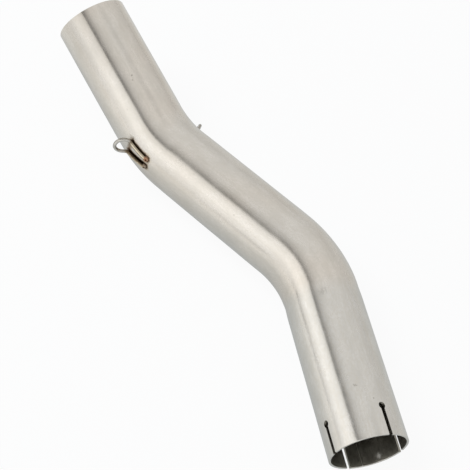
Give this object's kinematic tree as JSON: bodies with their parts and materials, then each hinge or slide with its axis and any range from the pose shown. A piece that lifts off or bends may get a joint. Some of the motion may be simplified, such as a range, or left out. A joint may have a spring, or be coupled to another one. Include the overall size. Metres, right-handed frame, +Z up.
{
  "type": "exhaust mid pipe",
  "caption": "Bent stainless exhaust tube with a slotted clamp end, a plain end and welded wire hooks for its springs.",
  "frame": {"origin": "under the middle of the bounding box, on the surface that the tube lies on", "axes": "+Z up; +X along the slotted straight and out of its mouth; the tube lies as it comes to rest, on its slotted and middle straights, and the plain end rises"},
  "size_m": [0.3572, 0.163, 0.085],
  "materials": {
    "tube_steel": "satin brushed, warm grey",
    "hook_wire": "drawn wire, straw tint near the welds",
    "weld_tack": "heat-tinted copper brown"
  },
  "bodies": {
    "root": {"mid_pipe": "tube_steel", "spring_hook_left": "hook_wire", "spring_hook_right": "hook_wire", "weld_tack_left_first": "weld_tack", "weld_tack_left_second": "weld_tack", "weld_tack_right_first": "weld_tack", "weld_tack_right_second": "weld_tack"}
  },
  "joints": []
}
